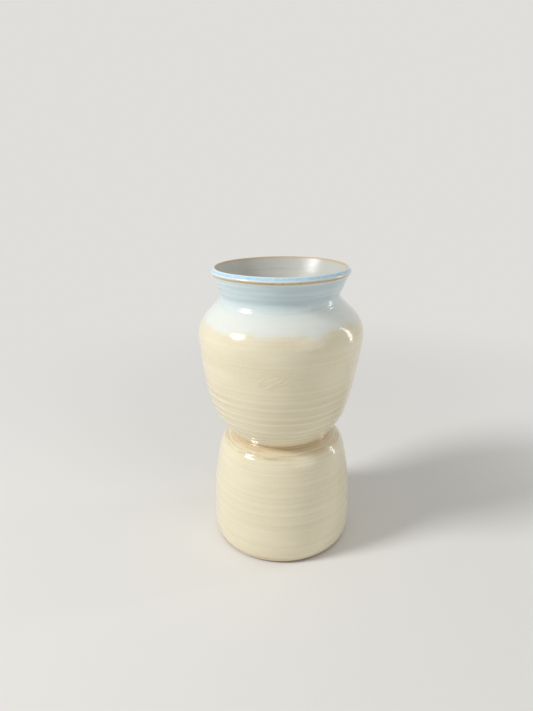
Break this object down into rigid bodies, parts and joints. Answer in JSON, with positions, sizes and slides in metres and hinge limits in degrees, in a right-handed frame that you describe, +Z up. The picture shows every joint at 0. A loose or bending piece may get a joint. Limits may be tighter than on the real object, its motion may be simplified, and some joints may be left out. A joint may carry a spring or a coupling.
{
  "type": "double gourd vase",
  "caption": "Thrown stoneware double gourd vase: squat lower bulb, larger jar-shaped upper bulb, flared collar and beaded lip, in cream gloss glaze with a pale blue neck. Holds stems and water.",
  "frame": {"origin": "centre of the standing face, on the vase's axis", "axes": "+Z up the vase's axis, from foot to lip; X and Y are alike round the axis, and the picture looks along +Y"},
  "size_m": [0.1584, 0.1584, 0.2818],
  "materials": {
    "stoneware": "fired buff stoneware, bare and matt on the foot",
    "slip": "fired joining slip, fine and matt",
    "cream_glaze": "warm cream gloss glaze over throwing rings",
    "blue_glaze": "pale ice-blue gloss glaze, golden brown where it breaks over edges",
    "liner_glaze": "pale greyish cream gloss liner"
  },
  "bodies": {
    "root": {"lower_gourd": "stoneware", "upper_gourd": "stoneware", "seam_slip": "slip", "seam_coil": "stoneware", "lower_glaze": "cream_glaze", "belly_glaze": "cream_glaze", "neck_glaze": "blue_glaze", "liner_glaze": "liner_glaze"}
  },
  "joints": []
}
